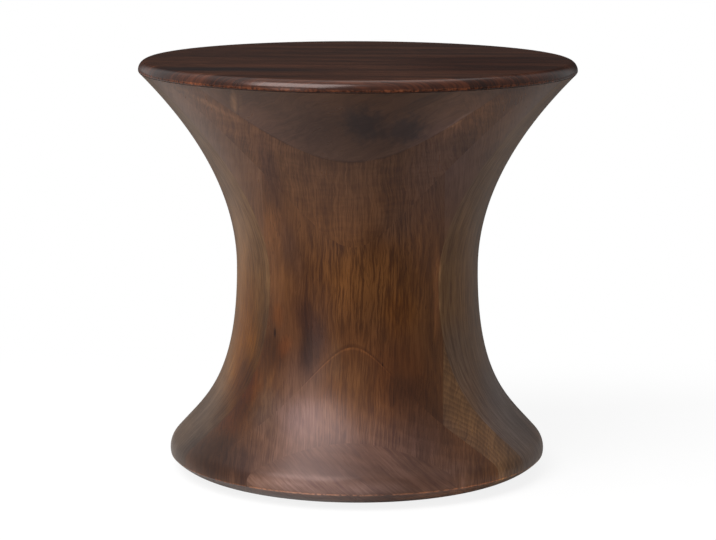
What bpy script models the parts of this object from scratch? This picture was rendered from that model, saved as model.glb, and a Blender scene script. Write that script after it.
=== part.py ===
"""A round stool: planks glued face to face and turned to an hourglass, under a seat of edge-glued boards.

The stool stands on z = 0 with its axis on Z. The planks are stacked along Y, and -Y is the front.
"""

import math

import bmesh
import bpy
from mathutils import Matrix, Vector

# Overall sizes, in metres
HEIGHT = 0.457
SEAT_RADIUS = 0.241
SEAT_THICKNESS = 0.0125
SEAT_UPPER_ROUNDING = 0.0105
SEAT_LOWER_ROUNDING = 0.0015

# The turned outline of the pedestal. The two sweeps are how far the lower flare keeps to its end slopes.
SEAT_OVERHANG = 0.0008
WAIST_RADIUS = 0.1341
WAIST_HEIGHT = 0.227
WAIST_SWEEP = 0.1276
FOOT_SWEEP = 0.0487
FOOT_INSET = 0.0315
FOOT_WIDEST_HEIGHT = 0.0229
FOOT_LIP_RADIUS = 0.0222
FOOT_FLARE_ANGLE = math.radians(41.3)
FOOT_TUCK_ANGLE = math.radians(12.2)
UNDERCUT_RADIUS = 0.0503

# The boards of the glued-up block. Its planks share evenly the depth that the outer blocks leave.
GLUE_LINE = 0.0003
WELL_HALF_WIDTH = 0.060
MIDDLE_BOARD_HALF_WIDTH = 0.077
RIM_BLOCK_DEPTH = 0.06245
RIM_CORNER_WIDTH = 0.0455
LAYERS_EACH_SIDE = 5
LEAST_STOCK = 0.004
SEAT_FRONT_BOARD_DEPTH = 0.071
SEAT_BACK_BOARD_DEPTH = 0.093
SEAT_MIDDLE_BOARDS = 3

# Dowels between the seat and the pedestal
DOWEL_COUNT = 6
DOWEL_RADIUS = 0.004
DOWEL_LENGTH = 0.030
DOWEL_CLEARANCE = 0.0003
DOWEL_COVER = 0.004
DOWEL_INSET = 0.091

# Felt pads under the foot
PAD_COUNT = 4
PAD_RADIUS = 0.015
PAD_THICKNESS = 0.0022
PAD_INSET = 0.0595

# How finely the round shapes are cut, and how far stock passes beyond what trims it
TURNING_STEPS = 72
FLARE_STEPS = 10
ARC_STEPS = 4
DOWEL_SIDES = 16
PAD_SIDES = 24
STOCK_OVERRUN = 0.002
FLAT_OVERRUN = 0.0003

# Sizes that follow from those above
PEDESTAL_RADIUS = SEAT_RADIUS - SEAT_OVERHANG
FOOT_RADIUS = SEAT_RADIUS - FOOT_INSET
PLANK_PITCH = (PEDESTAL_RADIUS - RIM_BLOCK_DEPTH) / (LAYERS_EACH_SIDE - 0.5)
PLANK_THICKNESS = PLANK_PITCH - GLUE_LINE
BASE_HEIGHT = PAD_THICKNESS + GLUE_LINE
SEAT_BOTTOM = HEIGHT - SEAT_THICKNESS
PEDESTAL_TOP = SEAT_BOTTOM - GLUE_LINE
STOCK_REACH = SEAT_RADIUS + STOCK_OVERRUN
FULL_HEIGHT = (BASE_HEIGHT, PEDESTAL_TOP)
UPPER_HALF = (WAIST_HEIGHT + GLUE_LINE / 2, PEDESTAL_TOP)
LOWER_HALF = (BASE_HEIGHT, WAIST_HEIGHT - GLUE_LINE / 2)
HOLE_RADIUS = DOWEL_RADIUS + DOWEL_CLEARANCE
HOLE_DEPTH = DOWEL_LENGTH + 2 * DOWEL_CLEARANCE
DOWEL_CENTRE_HEIGHT = HEIGHT - DOWEL_COVER - HOLE_DEPTH / 2

# Finishes: base colour and roughness
FINISHES = {
    "plank_wood": ((0.080, 0.037, 0.018), 0.38),
    "corner_wood": ((0.112, 0.060, 0.031), 0.38),
    "seat_wood": ((0.048, 0.021, 0.014), 0.35),
    "dowel_wood": ((0.520, 0.370, 0.220), 0.60),
    "pad_felt": ((0.030, 0.026, 0.024), 0.95),
}


def clear_scene():
    """Removes every object of the scene."""
    for obj in list(bpy.data.objects):
        bpy.data.objects.remove(obj, do_unlink=True)


def new_collection(name):
    """A collection linked to the scene."""
    made = bpy.data.collections.new(name)
    bpy.context.scene.collection.children.link(made)
    return made


def new_material(name):
    """A plain material with the finish of that name."""
    colour, roughness = FINISHES[name]
    made = bpy.data.materials.new(name)
    made.use_nodes = True
    shader = made.node_tree.nodes["Principled BSDF"]
    shader.inputs["Base Color"].default_value = (*colour, 1.0)
    shader.inputs["Roughness"].default_value = roughness
    shader.inputs["Metallic"].default_value = 0.0
    return made


def arc(centre, radius, start, end):
    """Points (r, z) on an arc. Its angles are measured upwards from the outward direction."""
    angles = [start + (end - start) * i / ARC_STEPS for i in range(ARC_STEPS + 1)]
    return [(centre[0] + radius * math.cos(a), centre[1] + radius * math.sin(a)) for a in angles]


def upper_flare():
    """The flare under the seat, a parabola that leaves the waist upright, from top to bottom."""
    rise = PEDESTAL_TOP - WAIST_HEIGHT
    spread = PEDESTAL_RADIUS - WAIST_RADIUS
    top_share = 1 + STOCK_OVERRUN / rise
    shares = [top_share * (1 - i / FLARE_STEPS) for i in range(FLARE_STEPS + 1)]
    return [(WAIST_RADIUS + spread * s * s, WAIST_HEIGHT + rise * s) for s in shares]


def lower_flare(end):
    """The flare over the foot, a curve from the upright waist to the lip's slope, from top to bottom."""
    slope = Vector((math.sin(FOOT_FLARE_ANGLE), -math.cos(FOOT_FLARE_ANGLE)))
    a = Vector((WAIST_RADIUS, WAIST_HEIGHT))
    b = a - Vector((0.0, WAIST_SWEEP))
    d = Vector(end)
    c = d - FOOT_SWEEP * slope
    points = []
    for i in range(1, FLARE_STEPS):
        t = i / FLARE_STEPS
        u = 1 - t
        points.append(tuple(u**3 * a + 3 * u * u * t * b + 3 * u * t * t * c + t**3 * d))
    return points


def pedestal_outline():
    """The hourglass as (r, z) points, from the axis over its top to the axis under its foot."""
    lip_centre = (FOOT_RADIUS - FOOT_LIP_RADIUS, FOOT_WIDEST_HEIGHT)
    lip = arc(lip_centre, FOOT_LIP_RADIUS, FOOT_FLARE_ANGLE, -FOOT_TUCK_ANGLE)
    edge_radius, edge_height = lip[-1]
    # The undercut dips just past the base plane, so that plane cuts it clean.
    centre_height = BASE_HEIGHT - FLAT_OVERRUN + UNDERCUT_RADIUS
    edge_angle = math.asin((edge_height - centre_height) / UNDERCUT_RADIUS)
    centre_radius = edge_radius - UNDERCUT_RADIUS * math.cos(edge_angle)
    undercut = arc((centre_radius, centre_height), UNDERCUT_RADIUS, edge_angle, -math.pi / 2)
    upper = upper_flare()
    top_axis = (0.0, upper[0][1])
    base_axis = (0.0, undercut[-1][1])
    return [top_axis, *upper, *lower_flare(lip[0]), *lip, *undercut[1:], base_axis]


def seat_outline():
    """The seat disc as (r, z) points. Its roundings pass just beyond the flat faces, which cut them."""
    lower = SEAT_LOWER_ROUNDING
    upper = min(SEAT_UPPER_ROUNDING, SEAT_THICKNESS - lower)
    top_edge = arc((SEAT_RADIUS - upper, HEIGHT + FLAT_OVERRUN - upper), upper, math.pi / 2, 0.0)
    low_edge = arc((SEAT_RADIUS - lower, SEAT_BOTTOM - FLAT_OVERRUN + lower), lower, 0.0, -math.pi / 2)
    return [(0.0, top_edge[0][1]), *top_edge, *low_edge, (0.0, low_edge[-1][1])]


def round_places(count, radius):
    """Points evenly spaced on a circle round the axis, level with each other, the first half a step round."""
    angles = [2 * math.pi * (i + 0.5) / count for i in range(count)]
    return [(radius * math.sin(a), radius * math.cos(a)) for a in angles]


class Bench:
    """Holds the collections, materials and cutters while the pieces are made."""

    def __init__(self):
        self.pieces = new_collection("round_stool")
        self.cutters = new_collection("cutters")
        self.materials = {name: new_material(name) for name in FINISHES}
        self.origin = bpy.data.objects.new("stool_origin", None)
        self.pieces.objects.link(self.origin)
        self.holes = []

    def add_piece(self, name, mesh, location, finish):
        """A finished piece, carried by the stool's origin."""
        mesh.materials.append(self.materials[finish])
        piece = bpy.data.objects.new(name, mesh)
        piece.location = location
        piece.parent = self.origin
        self.pieces.objects.link(piece)
        return piece

    def add_cutter(self, name, mesh, location=(0.0, 0.0, 0.0)):
        """A helper that only shapes other pieces."""
        cutter = bpy.data.objects.new(name, mesh)
        cutter.location = location
        cutter.hide_render = True
        cutter.display_type = "WIRE"
        self.cutters.objects.link(cutter)
        return cutter

    def turned_cutter(self, name, outline):
        """A closed shape of revolution about Z from an outline of (r, z) points."""
        form = bmesh.new()
        points = [form.verts.new((radius, 0.0, height)) for radius, height in outline]
        for first, second in zip(points, points[1:]):
            form.edges.new((first, second))
        mesh = bpy.data.meshes.new(name)
        form.to_mesh(mesh)
        form.free()
        cutter = self.add_cutter(name, mesh)
        turning = cutter.modifiers.new("turning", "SCREW")
        turning.axis = "Z"
        turning.angle = 2 * math.pi
        turning.steps = TURNING_STEPS
        turning.render_steps = TURNING_STEPS
        turning.use_merge_vertices = True
        turning.merge_threshold = 0.0001
        turning.use_smooth_shade = True
        return cutter

    def turned_board(self, name, shape, spans, finish):
        """A board with these (low, high) spans along X, Y and Z, turned to a shape and drilled for its dowels."""
        size = [high - low for low, high in spans]
        centre = [(high + low) / 2 for low, high in spans]
        form = bmesh.new()
        bmesh.ops.create_cube(form, size=1.0, matrix=Matrix.Diagonal((*size, 1.0)))
        mesh = bpy.data.meshes.new(name)
        form.to_mesh(mesh)
        form.free()
        board = self.add_piece(name, mesh, centre, finish)
        cut(board, "turning", "INTERSECT", shape)
        for hole in self.holes:
            reaches = [
                low < place + HOLE_RADIUS and place - HOLE_RADIUS < high
                for (low, high), place in zip(spans[:2], hole.location)
            ]
            if all(reaches):
                cut(board, hole.name, "DIFFERENCE", hole)
        return board


def cut(piece, name, operation, cutter):
    """Adds a Boolean that keeps or removes what the cutter covers."""
    modifier = piece.modifiers.new(name, "BOOLEAN")
    modifier.operation = operation
    modifier.object = cutter


def round_mesh(name, radius, depth, sides):
    """A closed cylinder about its own centre, smooth round its side."""
    form = bmesh.new()
    bmesh.ops.create_cone(form, cap_ends=True, segments=sides, radius1=radius, radius2=radius, depth=depth)
    mesh = bpy.data.meshes.new(name)
    form.to_mesh(mesh)
    form.free()
    mesh.shade_smooth()
    mesh.set_sharp_from_angle(angle=math.radians(40))
    return mesh


def add_dowels(bench):
    """The blind dowels that locate the seat, and the cutters of their holes."""
    for number, place in enumerate(round_places(DOWEL_COUNT, SEAT_RADIUS - DOWEL_INSET), 1):
        location = (*place, DOWEL_CENTRE_HEIGHT)
        name = f"seat_dowel_{number}"
        dowel = round_mesh(name, DOWEL_RADIUS, DOWEL_LENGTH, DOWEL_SIDES)
        bench.add_piece(name, dowel, location, "dowel_wood")
        hole = round_mesh(f"hole_{number}", HOLE_RADIUS, HOLE_DEPTH, DOWEL_SIDES)
        bench.holes.append(bench.add_cutter(f"hole_{number}", hole, location))


def plank_face(layer):
    """How far from the axis the glue line inside a layer lies. Layer 0 has the axis in its middle."""
    return (layer - 0.5) * PLANK_PITCH


def face_board_half_width():
    """Half the width of a layer 3 plank whose corner blocks begin level with the blocks of layer 4."""
    return math.sqrt(plank_face(4) ** 2 - plank_face(3) ** 2)


def layer_span(layer, side):
    """The span along Y of a layer on one side, between its glue lines. The last one runs to the rim."""
    is_last = layer == LAYERS_EACH_SIDE
    near = plank_face(layer) + GLUE_LINE / 2
    far = STOCK_REACH if is_last else plank_face(layer + 1) - GLUE_LINE / 2
    return (-far, -near) if side < 0 else (near, far)


def beside(half_width):
    """The spans along X of what lies left and right of a middle of this half width."""
    return {"left": (-STOCK_REACH, -half_width), "right": (half_width, STOCK_REACH)}


def halves(near_y, near_x=0.0):
    """The upper and lower stock of a block that the waist cuts in two, where the flares reach it."""
    nearest = math.hypot(near_x, near_y) + LEAST_STOCK
    stock = {}
    if nearest < PEDESTAL_RADIUS:
        stock["upper"] = UPPER_HALF
    if nearest < FOOT_RADIUS:
        stock["lower"] = LOWER_HALF
    return stock


def add_well_layer(bench, shape, name, y_span):
    """Two planks that stand clear of each other and leave the well between them."""
    for hand, x_span in beside(WELL_HALF_WIDTH).items():
        bench.turned_board(f"{name}_{hand}", shape, (x_span, y_span, FULL_HEIGHT), "plank_wood")


def add_middle_layer(bench, shape, name, y_span):
    """Three planks edge to edge. The middle one closes the well."""
    inset = GLUE_LINE / 2
    spans = beside(MIDDLE_BOARD_HALF_WIDTH + inset)
    spans["centre"] = (-MIDDLE_BOARD_HALF_WIDTH + inset, MIDDLE_BOARD_HALF_WIDTH - inset)
    for place, x_span in spans.items():
        bench.turned_board(f"{name}_{place}", shape, (x_span, y_span, FULL_HEIGHT), "plank_wood")


def add_face_layer(bench, shape, name, y_span, near_y):
    """One tall plank, with a short block at each corner where the flares are wider than it."""
    inset = GLUE_LINE / 2
    half_width = face_board_half_width()
    x_span = (-half_width + inset, half_width - inset)
    bench.turned_board(f"{name}_centre", shape, (x_span, y_span, FULL_HEIGHT), "plank_wood")
    corner = name.replace("plank", "corner_block")
    for half, z_span in halves(near_y, half_width).items():
        for hand, x_span in beside(half_width + inset).items():
            bench.turned_board(f"{corner}_{half}_{hand}", shape, (x_span, y_span, z_span), "corner_wood")


def add_flare_layer(bench, shape, name, y_span, near_y, is_last):
    """Blocks that lie in the flares. The last upper one has a corner block on each side, at the rim."""
    block = name.replace("plank", "flare_block")
    inset = GLUE_LINE / 2
    for half, z_span in halves(near_y).items():
        x_span = (-STOCK_REACH, STOCK_REACH)
        if is_last and half == "upper":
            half_width = math.sqrt(PEDESTAL_RADIUS**2 - near_y**2) - RIM_CORNER_WIDTH
            x_span = (-half_width + inset, half_width - inset)
            corner = name.replace("plank", "rim_corner")
            for hand, side_span in beside(half_width + inset).items():
                bench.turned_board(f"{corner}_{hand}", shape, (side_span, y_span, z_span), "corner_wood")
        bench.turned_board(f"{block}_{half}", shape, (x_span, y_span, z_span), "plank_wood")


def add_pedestal(bench):
    """The glued-up block of planks, from the core outwards to the front and to the back."""
    shape = bench.turned_cutter("pedestal_turning", pedestal_outline())
    add_well_layer(bench, shape, "plank_core", (-PLANK_THICKNESS / 2, PLANK_THICKNESS / 2))
    for side, side_name in ((-1, "front"), (1, "back")):
        for layer in range(1, LAYERS_EACH_SIDE + 1):
            name = f"plank_{side_name}_{layer}"
            y_span = layer_span(layer, side)
            near_y = plank_face(layer)
            if layer == 1:
                add_well_layer(bench, shape, name, y_span)
            elif layer == 2:
                add_middle_layer(bench, shape, name, y_span)
            elif layer == 3:
                add_face_layer(bench, shape, name, y_span, near_y)
            else:
                add_flare_layer(bench, shape, name, y_span, near_y, layer == LAYERS_EACH_SIDE)


def add_seat(bench):
    """The boards of the seat, edge to edge along Y: three alike between a front and a back one."""
    shape = bench.turned_cutter("seat_turning", seat_outline())
    first_joint = SEAT_FRONT_BOARD_DEPTH - SEAT_RADIUS
    last_joint = SEAT_RADIUS - SEAT_BACK_BOARD_DEPTH
    width = (last_joint - first_joint) / SEAT_MIDDLE_BOARDS
    joints = [first_joint + i * width for i in range(SEAT_MIDDLE_BOARDS + 1)]
    edges = [-STOCK_REACH, *joints, STOCK_REACH]
    inset = GLUE_LINE / 2
    for number, (low, high) in enumerate(zip(edges, edges[1:]), 1):
        spans = ((-STOCK_REACH, STOCK_REACH), (low + inset, high - inset), (SEAT_BOTTOM, HEIGHT))
        bench.turned_board(f"seat_board_{number}", shape, spans, "seat_wood")


def add_pads(bench):
    """The felt pads that the stool stands on."""
    for number, place in enumerate(round_places(PAD_COUNT, FOOT_RADIUS - PAD_INSET), 1):
        name = f"foot_pad_{number}"
        pad = round_mesh(name, PAD_RADIUS, PAD_THICKNESS, PAD_SIDES)
        bench.add_piece(name, pad, (*place, PAD_THICKNESS / 2), "pad_felt")


def main():
    clear_scene()
    bench = Bench()
    add_dowels(bench)
    add_pedestal(bench)
    add_seat(bench)
    add_pads(bench)


main()
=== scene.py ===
"""Dresses the round stool: boards cut from one turned blank, stained wood finishes, and a plain white studio.

The frame gives the place of every board. The stool stands on z = 0 with its axis on Z, and -Y is its front.
"""

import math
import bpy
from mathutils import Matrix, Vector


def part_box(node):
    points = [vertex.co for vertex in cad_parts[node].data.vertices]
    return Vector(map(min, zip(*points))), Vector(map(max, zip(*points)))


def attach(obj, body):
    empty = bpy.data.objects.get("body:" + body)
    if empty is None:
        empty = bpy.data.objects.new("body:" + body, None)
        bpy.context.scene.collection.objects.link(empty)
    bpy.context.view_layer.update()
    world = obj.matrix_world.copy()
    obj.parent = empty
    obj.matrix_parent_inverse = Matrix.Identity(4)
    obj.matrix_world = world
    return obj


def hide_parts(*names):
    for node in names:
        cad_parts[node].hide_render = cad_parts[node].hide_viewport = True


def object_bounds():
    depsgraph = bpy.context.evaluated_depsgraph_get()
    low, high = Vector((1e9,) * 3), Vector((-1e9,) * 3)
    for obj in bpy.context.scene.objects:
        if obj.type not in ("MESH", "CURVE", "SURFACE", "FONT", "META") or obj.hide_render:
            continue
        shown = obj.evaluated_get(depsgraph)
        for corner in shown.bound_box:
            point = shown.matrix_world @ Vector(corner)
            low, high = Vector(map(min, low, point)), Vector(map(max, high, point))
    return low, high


bl_info = {
    "name": "Round Turned Stool",
    "version": (1, 0, 0),
    "blender": (4, 5, 0),
    "location": "3D View > Sidebar > Stool",
    "description": "Models and stains a stool of glued-up planks turned to an hourglass",
    "category": "Object",
}

from typing import NamedTuple

import bpy
from bpy.props import FloatProperty, FloatVectorProperty, IntProperty, PointerProperty
from mathutils import Matrix, Vector

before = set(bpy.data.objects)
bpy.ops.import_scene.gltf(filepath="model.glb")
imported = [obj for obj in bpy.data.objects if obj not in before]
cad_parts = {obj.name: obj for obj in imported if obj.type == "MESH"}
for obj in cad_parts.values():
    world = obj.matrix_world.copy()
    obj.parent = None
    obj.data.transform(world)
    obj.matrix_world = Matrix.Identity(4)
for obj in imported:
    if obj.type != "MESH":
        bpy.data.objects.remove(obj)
CAD_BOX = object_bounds()
NODES = sorted(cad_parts)

# Sizes in metres that follow from the frame
SEAT_LOW, SEAT_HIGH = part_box("seat_board_3")
SEAT_RADIUS = CAD_BOX[1].x
PEDESTAL_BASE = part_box("plank_core_left")[0].z
PEDESTAL_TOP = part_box("plank_core_left")[1].z
GLUE_LINE = SEAT_LOW.z - PEDESTAL_TOP

SMOOTH_ANGLE = math.radians(30)
FLUTE_SIDES = 4
HOLE_SIDES = 32
PAD_SIDES = 48
FLOOR_SIZE = 60.0
LIGHT_TARGET = Vector((0.0, 0.0, 0.2))
SENSOR_WIDTH = 36.0
OIL_GLOSS = 0.33
OIL_TINT = (1.0, 0.72, 0.68, 1.0)
SOFTBOXES = ("key", "back", "fill")

# Steps along the arcs of the outline
FLARE_STEPS = 44
LIP_STEPS = 16
UNDERCUT_STEPS = 14
SEAT_UPPER_STEPS = 12
SEAT_LOWER_STEPS = 6
PAD_ROUNDING_STEPS = 4

# Axes of the frame, the digits that tell layers apart, and how squarely a picked face looks along an axis
X_AXIS = 0
Y_AXIS = 1
LAYER_DIGITS = 4
NEARLY_SQUARE = 0.9
SQUARE = 0.99
PICK_MODES = {"vertices": (True, False, False), "polygons": (False, False, True)}

# Waves per metre of the wood's figure: across X, across Y and along the grain
SWEEP_WAVES = (9.0, 9.0, 5.0)
BEND_WAVES = (40.0, 40.0, 22.0)
RIPPLE_WAVES = (130.0, 130.0, 60.0)
BAND_WAVES = (38.0, 9.0, 3.0)
BROAD_LINE_WAVES = (400.0, 16.0, 14.0)
FINE_LINE_WAVES = (760.0, 50.0, 46.0)
CURL_WAVES = (30.0, 30.0, 210.0)
CLOUD_WAVES = (20.0, 20.0, 13.0)
PORE_CELLS = (820.0, 90.0, 95.0)
PORE_PATCHES = (80.0, 40.0, 14.0)
RAGGED_WAVES = (140.0, 140.0, 40.0)
ACROSS_GRAIN = (1.0, 1.0, 0.0)
NOISE_MIDDLE = (0.5, 0.5, 0.5)

# Sockets of a Mix node that colours go through
MIX_PART = 0
MIX_FIRST = 6
MIX_SECOND = 7
MIX_RESULT = 2

# Where a pattern's raw value starts to show, and where it shows in full
RING_RISE = (0.0, 0.75)
RING_FALL = (0.80, 1.0)
BAND_STEP = (0.30, 0.70)
LINE_STEP = (0.34, 0.66)
PORE_STEP = (0.10, 0.34)
PATCH_STEP = (0.42, 0.60)
SPOT_STEP = (0.25, 1.0)
WIDTH_STEP = (0.4, 1.0)
SPECK_STEP = (0.36, 0.58)

# Strengths inside the wood's figure and in its oiled surface
MIDDLE_TONE = 0.5
BEND_SHARE = 0.3
RIPPLE_SHARE = 0.14
FINE_LINE_SHARE = 0.65
PORE_SHADE = 0.5
PATINA_CLOUDS = 0.7
PATINA_LINES = 0.3
DULLEST = 0.34
GLOSSIEST = 0.25
LINE_HEIGHT = 0.5
FAINT_LINES = 0.35
FOCUS_RAGGED = 0.02
GRAIN_BUMP = 0.12
GRAIN_DEPTH = 0.0004

# The felt: waves per metre of its hairs, how far they tangle, and its surface
HAIR_WAVES = (900.0, 2600.0, 900.0)
HAIR_STEP = (0.35, 0.65)
TANGLE_WAVES = (300.0, 300.0, 300.0)
HAIR_TANGLE = 0.004
FELT_BUMP = 0.6
FELT_DEPTH = 0.0005
FELT_DULL = 0.95

# The paper floor, in metres, and the slants from straight behind the stool to either side
RIGHT_FADE = 0.8
BACK_START = 0.2
BACK_END = 0.6
BEHIND_SLANT = (0.5, 1.1)
POOL_STEP = (0.4, 1.0)

# How far round the room its ceiling, its front and its side panels reach
CEILING_STEP = (0.35, 0.95)
FRONT_STEP = (-0.25, -1.0)
PANEL_LEAN = 0.28
PANEL_STEP = (0.0, 0.40)


def length(name, description, default):
    """A length in metres."""
    return FloatProperty(name=name, description=description, default=default, unit="LENGTH")


def angle(name, description, degrees):
    """An angle, given in degrees."""
    return FloatProperty(name=name, description=description, default=math.radians(degrees), subtype="ANGLE")


def share(name, description, default):
    """A share of a whole."""
    return FloatProperty(name=name, description=description, default=default, subtype="FACTOR")


def colour(name, description, default):
    """A linear colour."""
    return FloatVectorProperty(
        name=name, description=description, default=default, subtype="COLOR", min=0.0, max=1.0
    )


def direction(name, description, default):
    """A direction from the stool."""
    return FloatVectorProperty(name=name, description=description, default=default, subtype="DIRECTION")


def count(name, description, default):
    """A number of sides or grooves."""
    return IntProperty(name=name, description=description, default=default, min=3)


def power(name, description, default):
    """A lamp's power in watts."""
    return FloatProperty(name=name, description=description, default=default, unit="POWER")


class StoolShape(bpy.types.PropertyGroup):
    """The turned outline of the stool."""

    waist_radius: length("Waist Radius", "Radius at the narrowest height", 0.1341)
    waist_height: length("Waist Height", "Height of the narrowest place", 0.227)
    waist_sweep: length("Waist Sweep", "How far the lower flare stays upright", 0.1276)
    seat_overhang: length("Seat Overhang", "How far the seat passes the pedestal", 0.0008)
    seat_upper_rounding: length("Seat Upper Rounding", "Radius of the seat's upper edge", 0.0105)
    seat_lower_rounding: length("Seat Lower Rounding", "Radius of the seat's lower edge", 0.0015)
    foot_radius: length("Foot Radius", "Radius at the widest place of the foot", 0.2095)
    foot_height: length("Foot Height", "Height of the widest place of the foot", 0.0229)
    foot_sweep: length("Foot Sweep", "How far the lower flare keeps the lip's slope", 0.0487)
    lip_radius: length("Lip Radius", "Radius of the rounded lip of the foot", 0.0222)
    lip_flare: angle("Lip Flare", "Slope where the flare runs into the lip", 41.3)
    lip_tuck: angle("Lip Tuck", "How far the lip turns under", 12.2)
    undercut_radius: length("Undercut Radius", "Radius of the undercut below the lip", 0.0503)
    segments: count("Segments", "Sides of the turned shapes", 320)
    dowel_chamfer: length("Dowel Chamfer", "Chamfer at both ends of a dowel", 0.0012)
    dowel_flutes: count("Dowel Flutes", "Glue grooves round a dowel", 16)
    flute_depth: share("Flute Depth", "Depth of a dowel's grooves as a share of its radius", 0.06)
    dowel_clearance: length("Dowel Clearance", "Room for glue round a dowel", 0.0003)
    pad_rounding: length("Pad Rounding", "Radius of a felt pad's lower edge", 0.0007)
    pad_border: length("Pad Border", "Width of a felt pad's flat border", 0.0040)
    pad_dish: length("Pad Dish", "How far the middle of a felt pad is pressed in", 0.0002)


class StoolFinish(bpy.types.PropertyGroup):
    """The stained wood's colours, each wood from its palest lines to its darkest."""

    face_pale: colour("Face Pale", "Palest lines of the planks at the waist", (0.158, 0.063, 0.022))
    face_body: colour("Face Body", "Main colour of the planks at the waist", (0.104, 0.040, 0.013))
    face_dark: colour("Face Dark", "Darkest lines of the planks at the waist", (0.054, 0.020, 0.008))
    side_pale: colour("Side Pale", "Palest lines of the planks at the sides", (0.190, 0.098, 0.040))
    side_body: colour("Side Body", "Main colour of the planks at the sides", (0.145, 0.072, 0.028))
    side_dark: colour("Side Dark", "Darkest lines of the planks at the sides", (0.098, 0.047, 0.019))
    foot_pale: colour("Foot Pale", "Palest lines of the lower blocks", (0.125, 0.060, 0.036))
    foot_body: colour("Foot Body", "Main colour of the lower blocks", (0.094, 0.043, 0.024))
    foot_dark: colour("Foot Dark", "Darkest lines of the lower blocks", (0.060, 0.026, 0.014))
    flare_pale: colour("Flare Pale", "Palest lines of the upper inner blocks", (0.170, 0.076, 0.032))
    flare_body: colour("Flare Body", "Main colour of the upper inner blocks", (0.128, 0.055, 0.023))
    flare_dark: colour("Flare Dark", "Darkest lines of the upper inner blocks", (0.082, 0.034, 0.014))
    rim_pale: colour("Rim Pale", "Palest clouds of the upper outer blocks", (0.138, 0.064, 0.031))
    rim_body: colour("Rim Body", "Main colour of the upper outer blocks", (0.098, 0.045, 0.022))
    rim_dark: colour("Rim Dark", "Darkest clouds of the upper outer blocks", (0.054, 0.027, 0.015))
    corner_pale: colour("Corner Pale", "Palest lines of the corner blocks", (0.215, 0.108, 0.044))
    corner_body: colour("Corner Body", "Main colour of the corner blocks", (0.130, 0.064, 0.027))
    corner_dark: colour("Corner Dark", "Darkest lines of the corner blocks", (0.068, 0.032, 0.014))
    seat_pale: colour("Seat Pale", "Palest streaks of the seat", (0.092, 0.038, 0.022))
    seat_body: colour("Seat Body", "Main colour of the seat", (0.050, 0.021, 0.013))
    seat_dark: colour("Seat Dark", "Darkest streaks of the seat", (0.022, 0.011, 0.009))
    dowel_pale: colour("Dowel Pale", "Palest lines of the dowels", (0.560, 0.400, 0.240))
    dowel_body: colour("Dowel Body", "Main colour of the dowels", (0.450, 0.300, 0.165))
    dowel_dark: colour("Dowel Dark", "Darkest lines of the dowels", (0.330, 0.200, 0.100))
    felt_light: colour("Felt Light", "Lighter hairs of the felt", (0.110, 0.105, 0.098))
    felt_dark: colour("Felt Dark", "Darker hairs of the felt", (0.035, 0.033, 0.031))


class StoolStage(bpy.types.PropertyGroup):
    """The studio: softboxes, the light of the room, paper floor and camera."""

    key_direction: direction("Key Direction", "From the stool to the key softbox", (-0.390, -0.560, 0.731))
    key_distance: length("Key Distance", "From the stool to the key softbox", 2.5)
    key_width: length("Key Width", "Width of the key softbox", 1.6)
    key_length: length("Key Length", "Length of the key softbox, towards the ceiling", 1.6)
    key_power: power("Key Power", "Power of the key softbox", 63.0)
    back_direction: direction("Back Direction", "From the stool to the softbox behind it", (0.2, 0.5, 1.2))
    back_distance: length("Back Distance", "From the stool to the softbox behind it", 2.8)
    back_width: length("Back Width", "Width of the softbox behind the stool", 1.4)
    back_length: length("Back Length", "Length of the softbox behind the stool", 1.4)
    back_power: power("Back Power", "Power of the softbox behind the stool", 5.0)
    fill_direction: direction("Fill Direction", "From the stool to the low softbox", (-0.53, -0.83, 0.17))
    fill_distance: length("Fill Distance", "From the stool to the low softbox", 2.2)
    fill_width: length("Fill Width", "Width of the low softbox", 0.6)
    fill_length: length("Fill Length", "Height of the low softbox", 0.9)
    fill_power: power("Fill Power", "Power of the low softbox", 3.4)
    horizon_light: share("Horizon Light", "Light of the room at the height of the stool", 0.03)
    ceiling_light: share("Ceiling Light", "Light of the room from above", 1.0)
    ceiling_direction: direction("Ceiling Direction", "To the brightest ceiling", (-0.2, -0.15, 0.9))
    front_light: share("Front Light", "Light of the room from the camera's side", 0.42)
    side_light: share("Side Light", "Light of the room from both sides", 0.18)
    side_mirror: share("Side Mirror", "The same for what the stool's finish mirrors", 0.55)
    left_share: share("Left Share", "How much brighter the left of the room is", 0.3)
    paper_white: share("Paper White", "Brightness of the paper's colour to the stool", 0.55)
    paper_seen_white: share("Seen Paper White", "Brightness of the paper's colour to the camera", 0.95)
    paper_far_white: share("Far Paper White", "Brightness of the paper's colour beyond its lit part", 0.12)
    paper_glow: share("Paper Glow", "How far the paper shows white to the camera whatever the light", 0.85)
    paper_mirror_glow: share("Paper Mirror Glow", "The same for what the stool's finish mirrors", 0.05)
    paper_front: length("Paper Front", "How far in front of the stool the lit paper reaches", 0.26)
    paper_fade: length("Paper Fade", "Width over which the lit paper ends", 0.34)
    right_shade: share("Right Shade", "How much darker the paper is at the right", 0.4)
    back_shade: share("Back Shade", "How much darker the paper is behind the stool", 0.85)
    pool_place: FloatVectorProperty(
        name="Pool Place", description="Middle of the brightest paper", default=(-0.16, -0.42, 0.0),
        subtype="XYZ", unit="LENGTH",
    )
    pool_reach: length("Pool Reach", "Reach of the brightest paper", 0.34)
    pool_glow: share("Pool Glow", "How far the stool's finish mirrors the brightest paper as white", 1.0)
    camera_distance: length("Camera Distance", "From the stool's axis to the camera", 2.8)
    camera_height: length("Camera Height", "Height of the camera", 0.71365)
    camera_azimuth: angle("Camera Azimuth", "How far right of the front the camera stands", 2.0)
    camera_pitch: angle("Camera Pitch", "How far the camera looks down", 9.968)
    camera_roll: angle("Camera Roll", "How far the camera leans", 0.154)
    camera_lens: FloatProperty(
        name="Camera Lens", description="Focal length in mm", default=128.25, unit="CAMERA"
    )
    camera_shift: share("Camera Shift", "Sideways shift as a share of the frame", 0.00087)


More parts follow.
